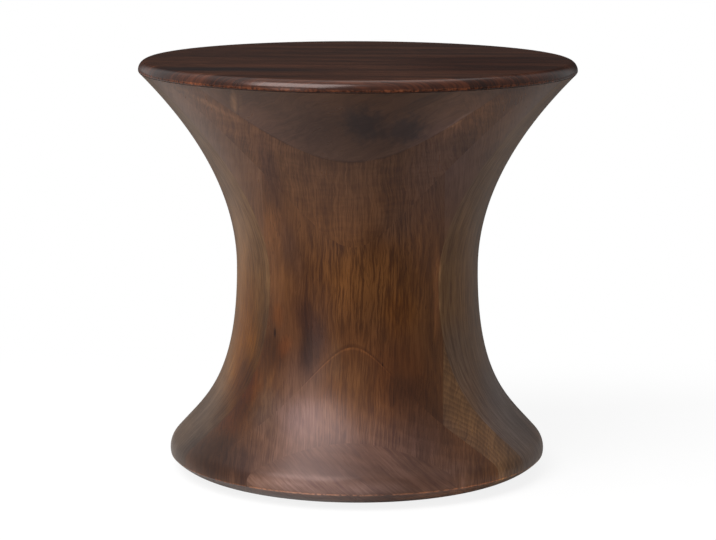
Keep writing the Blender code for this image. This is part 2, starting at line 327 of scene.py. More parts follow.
def add_node(tree, kind, inputs=None, **settings):
    """A shader node with its settings. Its inputs are linked, or set to plain values."""
    made = tree.nodes.new("ShaderNode" + kind)
    for name, value in settings.items():
        setattr(made, name, value)
    for socket, value in (inputs or {}).items():
        if isinstance(value, bpy.types.NodeSocket):
            tree.links.new(value, made.inputs[socket])
        else:
            made.inputs[socket].default_value = value
    return made


def maths(tree, operation, *values, clamp=False):
    """The output of a Math node."""
    made = add_node(tree, "Math", dict(enumerate(values)), operation=operation, use_clamp=clamp)
    return made.outputs["Value"]


def vector_maths(tree, operation, *values):
    """The outputs of a Vector Math node."""
    return add_node(tree, "VectorMath", dict(enumerate(values)), operation=operation).outputs


def mix_value(tree, part, low, high):
    """A number between two others."""
    return add_node(tree, "MapRange", {"Value": part, "To Min": low, "To Max": high}).outputs["Result"]


def mix_colour(tree, part, first, second, blend="MIX"):
    """The output of a Mix node for colours."""
    given = {MIX_PART: part, MIX_FIRST: first, MIX_SECOND: second}
    return add_node(tree, "Mix", given, data_type="RGBA", blend_type=blend).outputs[MIX_RESULT]


def grey(value):
    """A grey colour."""
    return (value, value, value, 1.0)


def solid(values):
    """A colour with full alpha."""
    return (*values, 1.0)


def noise(tree, vector, stretch, detail=2.0, roughness=0.5):
    """A Noise Texture with its own number of waves per metre along each axis."""
    return add_node(tree, "TexNoise", {
        "Vector": vector_maths(tree, "MULTIPLY", vector, stretch)["Vector"],
        "Scale": 1.0, "Detail": detail, "Roughness": roughness,
    }).outputs


def ramp(tree, value, start, end, low=0.0, high=1.0):
    """A smooth step from one value to another, held flat outside."""
    return add_node(tree, "MapRange", {
        "Value": value, "From Min": start, "From Max": end, "To Min": low, "To Max": high,
    }, interpolation_type="SMOOTHSTEP").outputs["Result"]


def shift_by_noise(tree, vector, stretch, reach):
    """A vector moved about by noise, by up to half a reach each way."""
    wander = noise(tree, vector, stretch)["Color"]
    centred = vector_maths(tree, "SUBTRACT", wander, NOISE_MIDDLE)["Vector"]
    moved = add_node(tree, "VectorMath", {0: centred, "Scale": reach}, operation="SCALE").outputs["Vector"]
    return vector_maths(tree, "ADD", vector, moved)["Vector"]


def new_group(name, inputs, outputs):
    """An empty shader node group and the node that gives its inputs."""
    tree = bpy.data.node_groups.new(name, "ShaderNodeTree")
    for label, kind in inputs.items():
        tree.interface.new_socket(label, in_out="INPUT", socket_type=f"NodeSocket{kind}")
    for label, kind in outputs.items():
        tree.interface.new_socket(label, in_out="OUTPUT", socket_type=f"NodeSocket{kind}")
    return tree, tree.nodes.new("NodeGroupInput").outputs


def put_out(tree, **values):
    """Links a group's outputs."""
    out = tree.nodes.new("NodeGroupOutput")
    for label, socket in values.items():
        tree.links.new(socket, out.inputs[label])


def use_group(tree, group, inputs):
    """Places a node group in a material."""
    placed = tree.nodes.new("ShaderNodeGroup")
    placed.node_tree = group
    for label, value in inputs.items():
        if isinstance(value, bpy.types.NodeSocket):
            tree.links.new(value, placed.inputs[label])
        else:
            placed.inputs[label].default_value = value
    return placed.outputs


def stained_grain():
    """Stained wood that grew along Z and was sawn across X: rings, bands, lines, curl, pores and clouds."""
    if "stained_grain" in bpy.data.node_groups:
        return bpy.data.node_groups["stained_grain"]
    tree, given = new_group("stained_grain", {
        "Vector": "Vector", "Pale": "Color", "Body": "Color", "Dark": "Color", "Pitch": "Float",
        "Waves": "Float", "Rings": "Float", "Bands": "Float", "Lines": "Float", "Curl": "Float",
        "Clouds": "Float", "Pores": "Float", "Dull": "Float",
    }, {"Color": "Color", "Roughness": "Float", "Height": "Float"})
    bent = shift_by_noise(tree, given["Vector"], SWEEP_WAVES, given["Waves"])
    for waves, part in ((BEND_WAVES, BEND_SHARE), (RIPPLE_WAVES, RIPPLE_SHARE)):
        bent = shift_by_noise(tree, bent, waves, maths(tree, "MULTIPLY", given["Waves"], part))
    flat = vector_maths(tree, "MULTIPLY", bent, ACROSS_GRAIN)["Vector"]
    radius = vector_maths(tree, "LENGTH", flat)["Value"]
    saw = maths(tree, "FRACT", maths(tree, "DIVIDE", radius, given["Pitch"]))
    late = maths(tree, "MULTIPLY", ramp(tree, saw, *RING_RISE), ramp(tree, saw, *RING_FALL, 1.0, 0.0))
    early = maths(tree, "SUBTRACT", 1.0, late)
    bands = ramp(tree, noise(tree, bent, BAND_WAVES)["Fac"], *BAND_STEP)
    broad = noise(tree, bent, BROAD_LINE_WAVES, detail=1.0)["Fac"]
    fine = noise(tree, bent, FINE_LINE_WAVES, roughness=0.6)["Fac"]
    lines = ramp(tree, mix_value(tree, FINE_LINE_SHARE, broad, fine), *LINE_STEP)
    curl = ramp(tree, noise(tree, bent, CURL_WAVES, detail=1.0)["Fac"], *LINE_STEP)
    clouds = noise(tree, given["Vector"], CLOUD_WAVES, detail=3.0, roughness=0.55)["Fac"]
    cells = vector_maths(tree, "MULTIPLY", bent, PORE_CELLS)["Vector"]
    cell = add_node(tree, "TexVoronoi", {"Vector": cells, "Scale": 1.0}).outputs["Distance"]
    patchy = ramp(tree, noise(tree, bent, PORE_PATCHES)["Fac"], *PATCH_STEP)
    pores = maths(tree, "MULTIPLY", ramp(tree, cell, *PORE_STEP, 1.0, 0.0), patchy)
    figure = {"Rings": early, "Bands": bands, "Lines": lines, "Curl": curl, "Clouds": clouds}
    tone = MIDDLE_TONE
    for strength, value in figure.items():
        swing = maths(tree, "SUBTRACT", value, MIDDLE_TONE)
        tone = maths(tree, "ADD", tone, maths(tree, "MULTIPLY", given[strength], swing))
    lower = maths(tree, "DIVIDE", tone, MIDDLE_TONE, clamp=True)
    upper = maths(tree, "SUBTRACT", maths(tree, "DIVIDE", tone, MIDDLE_TONE), 1.0, clamp=True)
    stained = mix_colour(tree, lower, given["Dark"], given["Body"])
    stained = mix_colour(tree, upper, stained, given["Pale"])
    deep = mix_colour(tree, 1.0, given["Dark"], grey(PORE_SHADE), "MULTIPLY")
    stained = mix_colour(tree, maths(tree, "MULTIPLY", pores, given["Pores"]), stained, deep)
    cloudy = maths(tree, "MULTIPLY", clouds, PATINA_CLOUDS)
    patina = maths(tree, "ADD", cloudy, maths(tree, "MULTIPLY", lines, PATINA_LINES))
    dull = maths(tree, "MULTIPLY", mix_value(tree, patina, DULLEST, GLOSSIEST), given["Dull"])
    height = maths(tree, "SUBTRACT", maths(tree, "MULTIPLY", lines, LINE_HEIGHT), pores)
    put_out(tree, Color=stained, Roughness=dull, Height=height)
    return tree


def soft_spot():
    """A mask in the shape of a soft ellipsoid with a ragged edge."""
    if "soft_spot" in bpy.data.node_groups:
        return bpy.data.node_groups["soft_spot"]
    tree, given = new_group("soft_spot", {
        "Vector": "Vector", "Centre": "Vector", "Size": "Vector", "Turn": "Vector", "Ragged": "Float",
    }, {"Mask": "Float"})
    ragged = shift_by_noise(tree, given["Vector"], RAGGED_WAVES, given["Ragged"])
    inside = add_node(tree, "Mapping", {
        "Vector": ragged, "Location": given["Centre"], "Rotation": given["Turn"], "Scale": given["Size"],
    }, vector_type="TEXTURE").outputs["Vector"]
    reach = vector_maths(tree, "LENGTH", inside)["Value"]
    put_out(tree, Mask=ramp(tree, reach, *SPOT_STEP, 1.0, 0.0))
    return tree


def thin_line():
    """A mask along a place on one axis, broken up along its length."""
    if "thin_line" in bpy.data.node_groups:
        return bpy.data.node_groups["thin_line"]
    tree, given = new_group("thin_line", {
        "Vector": "Vector", "Along": "Float", "Place": "Float", "Width": "Float", "Specks": "Float",
    }, {"Mask": "Float"})
    off = maths(tree, "ABSOLUTE", maths(tree, "SUBTRACT", given["Along"], given["Place"]))
    line = ramp(tree, maths(tree, "DIVIDE", off, given["Width"]), *WIDTH_STEP, 1.0, 0.0)
    specks = add_node(tree, "TexNoise", {"Vector": given["Vector"], "Scale": given["Specks"], "Detail": 3.0})
    broken = ramp(tree, specks.outputs["Fac"], *SPECK_STEP)
    put_out(tree, Mask=maths(tree, "MULTIPLY", line, broken))
    return tree


def arc(centre, radius, start, end, steps):
    """Points (r, z) on an arc. Its angles are measured upwards from the outward direction."""
    angles = [start + (end - start) * i / steps for i in range(steps + 1)]
    return [(centre[0] + radius * math.cos(a), centre[1] + radius * math.sin(a)) for a in angles]


def upper_flare(shape):
    """The flare under the seat, a parabola that leaves the waist upright, from top to bottom."""
    rise = PEDESTAL_TOP - shape.waist_height
    spread = SEAT_RADIUS - shape.seat_overhang - shape.waist_radius
    shares = [1 - i / FLARE_STEPS for i in range(FLARE_STEPS + 1)]
    return [(shape.waist_radius + spread * s * s, shape.waist_height + rise * s) for s in shares]


def lower_flare(shape, end):
    """The flare over the foot, a curve from the upright waist to the lip's slope, from top to bottom."""
    slope = Vector((math.sin(shape.lip_flare), -math.cos(shape.lip_flare)))
    a = Vector((shape.waist_radius, shape.waist_height))
    b = a - Vector((0.0, shape.waist_sweep))
    d = Vector(end)
    c = d - shape.foot_sweep * slope
    points = []
    for i in range(1, FLARE_STEPS):
        t = i / FLARE_STEPS
        u = 1 - t
        points.append(tuple(u**3 * a + 3 * u * u * t * b + 3 * u * t * t * c + t**3 * d))
    return points


def pedestal_outline(shape):
    """The hourglass as (r, z) points, from the edge of its top to the edge of its flat base."""
    lip_centre = (shape.foot_radius - shape.lip_radius, shape.foot_height)
    lip = arc(lip_centre, shape.lip_radius, shape.lip_flare, -shape.lip_tuck, LIP_STEPS)
    edge_radius, edge_height = lip[-1]
    under = shape.undercut_radius
    centre_height = PEDESTAL_BASE + under
    edge_angle = math.asin((edge_height - centre_height) / under)
    centre_radius = edge_radius - under * math.cos(edge_angle)
    undercut = arc((centre_radius, centre_height), under, edge_angle, -math.pi / 2, UNDERCUT_STEPS)
    return [*upper_flare(shape), *lower_flare(shape, lip[0]), *lip, *undercut[1:]]


def seat_outline(shape):
    """The rounded edge of the seat disc as (r, z) points, from its top to its underside."""
    upper = shape.seat_upper_rounding
    lower = shape.seat_lower_rounding
    upper_centre = (SEAT_RADIUS - upper, SEAT_HIGH.z - upper)
    lower_centre = (SEAT_RADIUS - lower, SEAT_LOW.z + lower)
    top_edge = arc(upper_centre, upper, math.pi / 2, 0.0, SEAT_UPPER_STEPS)
    low_edge = arc(lower_centre, lower, 0.0, -math.pi / 2, SEAT_LOWER_STEPS)
    return [*top_edge, *low_edge]


def select_only(piece):
    """Makes a piece the only selected and the active object."""
    bpy.ops.object.select_all(action="DESELECT")
    piece.select_set(True)
    bpy.context.view_layer.objects.active = piece


def name_piece(piece, name):
    """Names an object and its mesh or lamp alike."""
    piece.name = name
    piece.data.name = name


def turned_blank(name, outline, segments):
    """A closed turned body: a filled circle, extruded and scaled along an outline of (r, z) points."""
    radius, height = outline[0]
    bpy.ops.object.select_all(action="DESELECT")
    bpy.ops.mesh.primitive_circle_add(
        vertices=segments, radius=radius, fill_type="NGON", location=(0.0, 0.0, height)
    )
    blank = bpy.context.active_object
    bpy.ops.object.transform_apply(location=True, rotation=False, scale=False)
    name_piece(blank, name)
    bpy.ops.object.mode_set(mode="EDIT")
    bpy.ops.mesh.select_all(action="SELECT")
    for next_radius, next_height in outline[1:]:
        drop = (0.0, 0.0, next_height - height)
        change = next_radius / radius
        bpy.ops.mesh.extrude_region_move(TRANSFORM_OT_translate={"value": drop})
        bpy.ops.transform.resize(value=(change, change, 1.0), center_override=(0.0, 0.0, next_height))
        radius, height = next_radius, next_height
    bpy.ops.mesh.select_all(action="SELECT")
    bpy.ops.mesh.normals_make_consistent(inside=False)
    bpy.ops.object.mode_set(mode="OBJECT")
    return blank


def cut_copy(blank, name, cuts):
    """A copy of a blank that keeps what lies behind each cut, a plane given as (point, outward normal)."""
    select_only(blank)
    bpy.ops.object.duplicate()
    piece = bpy.context.active_object
    name_piece(piece, name)
    bpy.ops.object.mode_set(mode="EDIT")
    for place, normal in cuts:
        bpy.ops.mesh.select_all(action="SELECT")
        bpy.ops.mesh.bisect(plane_co=place, plane_no=normal, use_fill=True, clear_outer=True)
        bpy.ops.mesh.mark_sharp()
    bpy.ops.object.mode_set(mode="OBJECT")
    return piece


def box_cut(node, axis, side, glued=True):
    """The plane of one face of a node's box. A glued face moves out to the middle of its glue line."""
    low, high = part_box(node)
    normal = Vector((0.0, 0.0, 0.0))
    normal[axis] = side
    place = Vector(high if side > 0 else low)
    if glued:
        place += normal * GLUE_LINE / 2
    return place, normal


def layer_cuts(node):
    """The cuts across the stack of planks, along Y. The last layer is open to the outside."""
    if "core" in node:
        return [box_cut(node, Y_AXIS, -1), box_cut(node, Y_AXIS, 1)]
    inward = 1 if "front" in node else -1
    cuts = [box_cut(node, Y_AXIS, inward)]
    if "_5" not in node:
        cuts.append(box_cut(node, Y_AXIS, -inward))
    return cuts


def side_cuts(node, waist_height):
    """The cuts at a board's own edges, along X, and at the waist for a block that lies in one flare."""
    cuts = []
    is_open = node.startswith(("plank_core", "plank_front_1", "plank_back_1"))
    if node.endswith("left"):
        cuts.append(box_cut(node, X_AXIS, 1, glued=not is_open))
    elif node.endswith("right"):
        cuts.append(box_cut(node, X_AXIS, -1, glued=not is_open))
    elif node.endswith(("centre", "5_upper")):
        cuts += [box_cut(node, X_AXIS, -1), box_cut(node, X_AXIS, 1)]
    waist = Vector((0.0, 0.0, waist_height))
    if "upper" in node or node.startswith("rim_corner"):
        cuts.append((waist, Vector((0.0, 0.0, -1.0))))
    elif "lower" in node:
        cuts.append((waist, Vector((0.0, 0.0, 1.0))))
    return cuts


def finish_piece(piece, node, material):
    """Shades a piece, gives it its material, and sets it in the frame in place of its node."""
    select_only(piece)
    bpy.ops.object.shade_smooth_by_angle(angle=SMOOTH_ANGLE)
    piece.data.materials.clear()
    piece.data.materials.append(material)
    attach(piece, "root")
    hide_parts(node)


class Mark(NamedTuple):
    """A patch of stain or figure, or of painted sheen, highlight or shade: an ellipsoid inside which the
    wood's colour is multiplied by a tint.
    """

    centre: tuple
    size: tuple
    tint: tuple
    lean: float = 0.0
    ragged: float = 0.01


class Line(NamedTuple):
    """A thin line where a plane across one axis meets a board's surface. It may end away from its crown."""

    axis: str
    place: float
    width: float
    tint: tuple
    strength: float = 1.0
    specks: float = 55.0
    crown: tuple = ()
    reach: float = 0.0


class Wood(NamedTuple):
    """How one board was sawn: its colours, pith, lean and figure, and where its lines are strongest."""

    tones: str
    pith: tuple = (0.03, 0.08, 0.0)
    lean: tuple = (0.0, 0.0, 0.0)
    pitch: float = 0.011
    waves: float = 0.010
    rings: float = 0.1
    bands: float = 0.3
    lines: float = 0.6
    curl: float = 0.0
    clouds: float = 0.5
    pores: float = 0.25
    dull: float = 1.0
    gloss: float = OIL_GLOSS
    gloss_tint: tuple = OIL_TINT
    focus: tuple = ()


def new_material(name):
    """A material with its node tree and its shader."""
    made = bpy.data.materials.new(name)
    made.use_nodes = True
    return made, made.node_tree, made.node_tree.nodes["Principled BSDF"]


def stain_marks(tree, place, stained, marks):
    """Multiplies a stain's colour by the tint of each patch, whether stain or painted light."""
    for mark in marks:
        mask = use_group(tree, soft_spot(), {
            "Vector": place, "Centre": mark.centre, "Size": mark.size,
            "Turn": (0.0, math.radians(mark.lean), 0.0), "Ragged": mark.ragged,
        })["Mask"]
        stained = mix_colour(tree, mask, stained, solid(mark.tint), "MULTIPLY")
    return stained


def stain_lines(tree, place, stained, lines):
    """Multiplies a stain's colour by the tint of each thin line: glue lines, worn edges, and painted
    highlight and shade.
    """
    along = add_node(tree, "SeparateXYZ", {0: place}).outputs
    for line in lines:
        mask = use_group(tree, thin_line(), {
            "Vector": place, "Along": along[line.axis], "Place": line.place, "Width": line.width,
            "Specks": line.specks,
        })["Mask"]
        if line.crown:
            away = vector_maths(tree, "DISTANCE", place, line.crown)["Value"]
            mask = maths(tree, "MULTIPLY", mask, ramp(tree, away, line.reach / 2, line.reach, 1.0, 0.0))
        shown = maths(tree, "MULTIPLY", mask, line.strength)
        stained = mix_colour(tree, shown, stained, solid(line.tint), "MULTIPLY")
    return stained


def wood_material(name, wood, finish, marks=(), lines=()):
    """Stained and oiled wood for one board."""
    made, tree, shader = new_material(name)
    place = add_node(tree, "TexCoord").outputs["Object"]
    sawn = add_node(tree, "Mapping", {
        "Vector": place, "Location": wood.pith, "Rotation": [math.radians(a) for a in wood.lean],
    }, vector_type="TEXTURE").outputs["Vector"]
    lines_here = wood.lines
    if wood.focus:
        centre, size = wood.focus
        near = use_group(tree, soft_spot(), {
            "Vector": place, "Centre": centre, "Size": size, "Ragged": FOCUS_RAGGED,
        })["Mask"]
        lines_here = mix_value(tree, near, wood.lines * FAINT_LINES, wood.lines)
    grain = use_group(tree, stained_grain(), {
        "Vector": sawn, "Pitch": wood.pitch, "Waves": wood.waves, "Rings": wood.rings,
        "Bands": wood.bands, "Lines": lines_here, "Curl": wood.curl, "Clouds": wood.clouds,
        "Pores": wood.pores, "Dull": wood.dull,
        "Pale": solid(getattr(finish, f"{wood.tones}_pale")),
        "Body": solid(getattr(finish, f"{wood.tones}_body")),
        "Dark": solid(getattr(finish, f"{wood.tones}_dark")),
    })
    stained = stain_lines(tree, place, stain_marks(tree, place, grain["Color"], marks), lines)
    bump = add_node(tree, "Bump", {
        "Height": grain["Height"], "Strength": GRAIN_BUMP, "Distance": GRAIN_DEPTH,
    })
    tree.links.new(bump.outputs["Normal"], shader.inputs["Normal"])
    tree.links.new(stained, shader.inputs["Base Color"])
    tree.links.new(grain["Roughness"], shader.inputs["Roughness"])
    shader.inputs["Specular IOR Level"].default_value = wood.gloss
    shader.inputs["Specular Tint"].default_value = wood.gloss_tint
    return made


def felt_material(finish):
    """Pressed felt: short dark hairs, quite dull."""
    made, tree, shader = new_material("pressed_felt")
    place = add_node(tree, "TexCoord").outputs["Object"]
    tangled = shift_by_noise(tree, place, TANGLE_WAVES, HAIR_TANGLE)
    hairs = noise(tree, tangled, HAIR_WAVES, detail=3.0, roughness=0.7)["Fac"]
    light = ramp(tree, hairs, *HAIR_STEP)
    mixed = mix_colour(tree, light, solid(finish.felt_dark), solid(finish.felt_light))
    tree.links.new(mixed, shader.inputs["Base Color"])
    bump = add_node(tree, "Bump", {"Height": hairs, "Strength": FELT_BUMP, "Distance": FELT_DEPTH})
    tree.links.new(bump.outputs["Normal"], shader.inputs["Normal"])
    shader.inputs["Roughness"].default_value = FELT_DULL
    return made


# Glue planes of the stack along Y, and the thin lines that show on the boards: glue lines, worn edges, a
# painted highlight and painted shade along the lower arch, and painted shade down the seat's edge
OUTER_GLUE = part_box("flare_block_front_4_upper")[1].y + GLUE_LINE / 2
BAND_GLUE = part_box("flare_block_front_5_upper")[1].y + GLUE_LINE / 2
WORN_HEIGHT = 0.0182
UNBROKEN = 0.0
ARCH_CROWN = (-0.006, OUTER_GLUE, 0.150)
ARCH_REACH = 0.064

WORN_EDGE = Line("Z", WORN_HEIGHT, 0.0014, (3.0, 2.5, 1.9), strength=0.85, specks=190.0)
# Painted shade with a deeper orange stain: darkens the band down the seat's edge, which faces the key softbox
RIM_PAINTED_SHADE = Line("Z", SEAT_LOW.z + 0.0030, 0.0125, (0.58, 0.24, 0.07), specks=UNBROKEN)
WORN_SPECKS = Line("Z", SEAT_LOW.z + 0.0014, 0.0026, (3.6, 3.9, 3.6), strength=0.8, specks=330.0)
SEAT_LINES = (RIM_PAINTED_SHADE, WORN_SPECKS)
# A painted highlight along the lower arch's glue line, and painted shade beside it on the plank
LOWER_ARCH_HIGHLIGHT = Line("Y", OUTER_GLUE, 0.0005, (1.9, 1.85, 1.8), 0.8, UNBROKEN, ARCH_CROWN, ARCH_REACH)
ARCH_SHADE = Line("Y", OUTER_GLUE, 0.0007, (0.50, 0.45, 0.45), 0.7, UNBROKEN, ARCH_CROWN, ARCH_REACH)
UPPER_ARCH = Line("Y", BAND_GLUE, 0.0012, (0.55, 0.52, 0.52), strength=0.7)

# How each wood was sawn: first the boards that the front shows, then what is usual for the others
FRONT_WOOD = Wood(
    "face", (0.012, -0.30, 0.0), waves=0.018, lines=1.15, pores=0.6,
    focus=((0.012, -0.13, 0.250), (0.085, 0.2, 0.130)),
)
WOODS = {
    "plank_front_3_centre": FRONT_WOOD,
    "corner_block_front_3_lower_left": FRONT_WOOD,
    "flare_block_front_4_upper": Wood(
        "face", (-0.02, 0.02, 0.0), (6.0, 0.0, 0.0), waves=0.022, curl=0.15, lines=0.6
    ),
    "flare_block_front_5_upper": Wood(
        "rim", (0.02, -0.1, 0.0), (0.0, 62.0, 0.0), waves=0.05, lines=0.3, clouds=1.2
    ),
    "flare_block_front_4_lower": Wood("face", (0.05, -0.02, 0.0), (0.0, 2.0, 0.0), lines=0.6, bands=0.4),
    "flare_block_front_5_lower": Wood("face", (0.0, -0.05, 0.1), (0.0, -52.0, 0.0), lines=0.4),
    "corner_block_front_3_lower_right": Wood(
        "corner", (0.11, -0.16, 0.0), (35.0, 12.0, 0.0), pitch=0.006, waves=0.022, rings=0.25, bands=0.4,
        lines=0.4,
    ),
}
FACE_WOOD = Wood("face", (-0.02, 0.34, 0.3), waves=0.012, lines=1.0)
SIDE_WOOD = Wood(
    "side", (0.19, 0.05, 0.1), (0.0, 0.0, 90.0), waves=0.006, lines=0.9, clouds=0.4, dull=1.3
)
FOOT_WOOD = Wood("foot", (0.03, 0.3, 0.2), (5.0, -3.0, 0.0), lines=0.5)
FLARE_WOOD = Wood("flare", (0.06, 0.05, 0.4), (7.0, 3.0, 0.0), waves=0.016, lines=0.5)
RIM_WOOD = Wood("rim", (-0.04, 0.12, 0.0), (0.0, -16.0, 0.0), waves=0.03, lines=0.3, clouds=0.8)
SEAT_WOOD = Wood(
    "seat", (0.02, 0.37, 0.0), (90.0, 0.0, 90.0), waves=0.008, bands=0.55, lines=0.8, clouds=0.3,
    pores=0.3, dull=0.70, gloss=0.35, gloss_tint=(1.0, 0.84, 0.80, 1.0),
)
DOWEL_WOOD = Wood("dowel", (0.3, 0.1, 0.0), pitch=0.004, waves=0.002, pores=0.2)

# The streak of dark heartwood down the left of the front
HEART = (
    Mark((-0.086, -0.13, 0.345), (0.016, 0.2, 0.060), (0.68, 0.66, 0.80), lean=-10.0, ragged=0.006),
    Mark((-0.066, -0.13, 0.262), (0.017, 0.2, 0.058), (0.66, 0.68, 0.90), lean=-13.0, ragged=0.006),
    Mark((-0.042, -0.13, 0.180), (0.018, 0.2, 0.052), (0.62, 0.62, 0.82), lean=-30.0, ragged=0.006),
)

# Stain and painted light that run over the boards of the front, of the back and of the sides; the painted
# sheen, highlights and light from the floor are marked where they stand
FRONT_FIELD = (
    # Painted lavender sheen over the foot, with a darker red
    Mark((0.0, -0.20, 0.030), (0.210, 0.14, 0.105), (0.68, 0.87, 1.82), ragged=0.02),
    # Painted grey sheen under the seat
    Mark((0.0, -0.17, 0.385), (0.210, 0.14, 0.110), (0.95, 1.05, 1.34), ragged=0.02),
    Mark((-0.122, -0.13, 0.085), (0.055, 0.12, 0.060), (0.66, 0.66, 0.72), ragged=0.02),
    Mark((-0.140, -0.13, 0.040), (0.070, 0.12, 0.036), (0.44, 0.46, 0.58), ragged=0.02),
    Mark((0.128, -0.14, 0.055), (0.045, 0.12, 0.034), (0.76, 0.74, 0.76), ragged=0.02),
    Mark((0.030, -0.17, 0.075), (0.055, 0.10, 0.050), (1.28, 1.28, 1.32), ragged=0.02),
    Mark((-0.070, -0.13, 0.175), (0.045, 0.08, 0.065), (0.70, 0.68, 0.78), ragged=0.02),
    Mark((0.000, -0.136, 0.165), (0.060, 0.08, 0.038), (0.76, 0.70, 0.62)),
    Mark((0.050, -0.135, 0.130), (0.050, 0.08, 0.065), (0.72, 0.60, 0.48)),
    Mark((0.080, -0.15, 0.085), (0.052, 0.1, 0.060), (0.50, 0.50, 0.60), ragged=0.02),
    # Painted lavender sheen beside the highlight of the key softbox
    Mark((-0.055, -0.13, 0.110), (0.040, 0.10, 0.060), (0.88, 1.06, 1.85)),
    Mark((0.005, -0.18, 0.400), (0.080, 0.1, 0.060), (0.68, 0.66, 0.62), ragged=0.02),
    Mark((-0.042, -0.13, 0.205), (0.032, 0.1, 0.060), (0.76, 0.74, 0.80)),
    Mark((0.018, -0.13, 0.235), (0.024, 0.1, 0.070), (0.85, 0.85, 0.85)),
    Mark((0.025, -0.13, 0.275), (0.022, 0.1, 0.026), (0.72, 0.70, 0.72)),
    Mark((-0.048, -0.13, 0.158), (0.016, 0.1, 0.034), (0.44, 0.44, 0.54)),
    Mark((-0.112, -0.11, 0.128), (0.024, 0.1, 0.034), (0.62, 0.64, 0.74)),
    Mark((0.012, -0.13, 0.235), (0.075, 0.1, 0.065), (1.00, 0.96, 0.80)),
    # Painted grey sheen on the upper right
    Mark((0.098, -0.14, 0.345), (0.065, 0.10, 0.095), (1.12, 1.24, 1.80)),
    Mark((0.110, -0.19, 0.418), (0.058, 0.12, 0.034), (1.85, 1.85, 1.90), lean=-35.0, ragged=0.02),
    Mark((-0.110, -0.16, 0.405), (0.070, 0.08, 0.045), (1.42, 1.42, 1.50), lean=25.0, ragged=0.02),
    Mark((-0.150, -0.17, 0.424), (0.060, 0.1, 0.0040), (1.35, 1.45, 1.55), lean=26.0, ragged=0.004),
    Mark((0.110, -0.18, 0.410), (0.026, 0.1, 0.0030), (1.5, 1.6, 1.7), lean=-35.0, ragged=0.003),
    Mark((-0.035, -0.17, 0.405), (0.032, 0.1, 0.050), (0.72, 0.72, 0.75), ragged=0.02),
    Mark((-0.095, -0.11, 0.170), (0.020, 0.1, 0.058), (0.60, 0.60, 0.62)),
    Mark((0.0890, -0.10, 0.218), (0.0055, 0.2, 0.068), (2.10, 2.10, 2.10), ragged=0.006),
    Mark((0.080, -0.11, 0.275), (0.028, 0.1, 0.075), (1.35, 1.34, 1.32)),
    Mark((-0.085, -0.11, 0.285), (0.022, 0.1, 0.036), (1.30, 1.28, 1.20)),
    Mark((0.015, -0.13, 0.195), (0.060, 0.1, 0.035), (0.76, 0.74, 0.74)),
    Mark((-0.122, -0.08, 0.150), (0.034, 0.10, 0.150), (1.00, 0.70, 0.14)),
    Mark((-0.135, -0.10, 0.085), (0.036, 0.08, 0.046), (0.66, 0.58, 0.50)),
    Mark((-0.160, -0.085, 0.062), (0.042, 0.09, 0.046), (0.70, 0.70, 0.72)),
    Mark((0.140, -0.07, 0.095), (0.036, 0.08, 0.050), (0.76, 0.76, 0.78)),
    # Painted grey sheen near both sides, under the seat
    Mark((0.150, -0.14, 0.405), (0.052, 0.1, 0.050), (1.32, 1.36, 1.45), ragged=0.02),
    Mark((-0.165, -0.14, 0.425), (0.052, 0.1, 0.032), (1.30, 1.34, 1.45), ragged=0.02),
    Mark((-0.098, -0.11, 0.360), (0.022, 0.1, 0.050), (1.22, 1.22, 1.26)),
    Mark((0.045, -0.13, 0.295), (0.032, 0.1, 0.030), (0.92, 1.00, 1.30)),
    Mark((0.050, -0.13, 0.195), (0.028, 0.1, 0.036), (1.08, 0.98, 0.72)),
    # Painted sheen round the highlight of the key softbox, in these two marks
    Mark((-0.085, -0.14, 0.085), (0.036, 0.1, 0.036), (0.96, 1.08, 1.32)),
    Mark((-0.018, -0.14, 0.150), (0.012, 0.1, 0.030), (1.15, 1.30, 1.60)),
    # Painted highlight where the key softbox is mirrored
    Mark((-0.030, -0.15, 0.090), (0.036, 0.1, 0.036), (1.22, 1.24, 1.28)),
    Mark((-0.118, -0.10, 0.110), (0.024, 0.1, 0.042), (0.64, 0.54, 0.40)),
    Mark((-0.150, -0.12, 0.036), (0.040, 0.1, 0.030), (0.66, 0.64, 0.62)),
    Mark((-0.046, -0.13, 0.145), (0.020, 0.1, 0.030), (0.66, 0.64, 0.66)),
    Mark((-0.088, -0.115, 0.148), (0.024, 0.1, 0.030), (0.66, 0.60, 0.54)),
    Mark((0.185, -0.06, 0.050), (0.055, 0.12, 0.055), (0.72, 0.74, 0.76)),
    Mark((0.080, -0.12, 0.145), (0.080, 0.1, 0.060), (0.86, 0.86, 0.86), ragged=0.02),
    # Painted light from the floor in the undercut at the bottom
    Mark((0.040, -0.19, 0.006), (0.140, 0.1, 0.013), (1.75, 1.65, 1.50)),
    Mark((0.054, -0.145, 0.116), (0.026, 0.1, 0.028), (0.70, 0.74, 0.92)),
    # Painted sheen on the lower left and at the lip on the right
    Mark((-0.100, -0.12, 0.095), (0.032, 0.1, 0.032), (1.10, 1.28, 1.70)),
    Mark((0.115, -0.17, 0.030), (0.050, 0.1, 0.022), (0.98, 1.08, 1.30)),
    # Painted light from the floor on the lower right of the lip
    Mark((0.125, -0.17, 0.014), (0.110, 0.12, 0.022), (1.65, 1.60, 1.50)),
    Mark((-0.180, -0.10, 0.030), (0.042, 0.15, 0.024), (0.55, 0.55, 0.58)),
)
BACK_FIELD = (
    # Painted sheen as at the front: lavender over the foot and grey under the seat
    Mark((0.0, 0.20, 0.030), (0.210, 0.14, 0.105), (0.74, 0.91, 1.78), ragged=0.02),
    Mark((0.0, 0.17, 0.385), (0.210, 0.14, 0.110), (0.95, 1.05, 1.34), ragged=0.02),
    Mark((0.060, 0.13, 0.250), (0.020, 0.2, 0.080), (0.66, 0.66, 0.82), lean=12.0),
    Mark((-0.050, 0.13, 0.160), (0.030, 0.2, 0.060), (0.70, 0.70, 0.80), lean=-18.0),
    Mark((-0.030, 0.20, 0.400), (0.050, 0.2, 0.024), (0.55, 0.62, 0.82), lean=10.0, ragged=0.03),
    Mark((0.080, 0.15, 0.100), (0.050, 0.1, 0.050), (1.30, 1.25, 1.15), ragged=0.02),
)
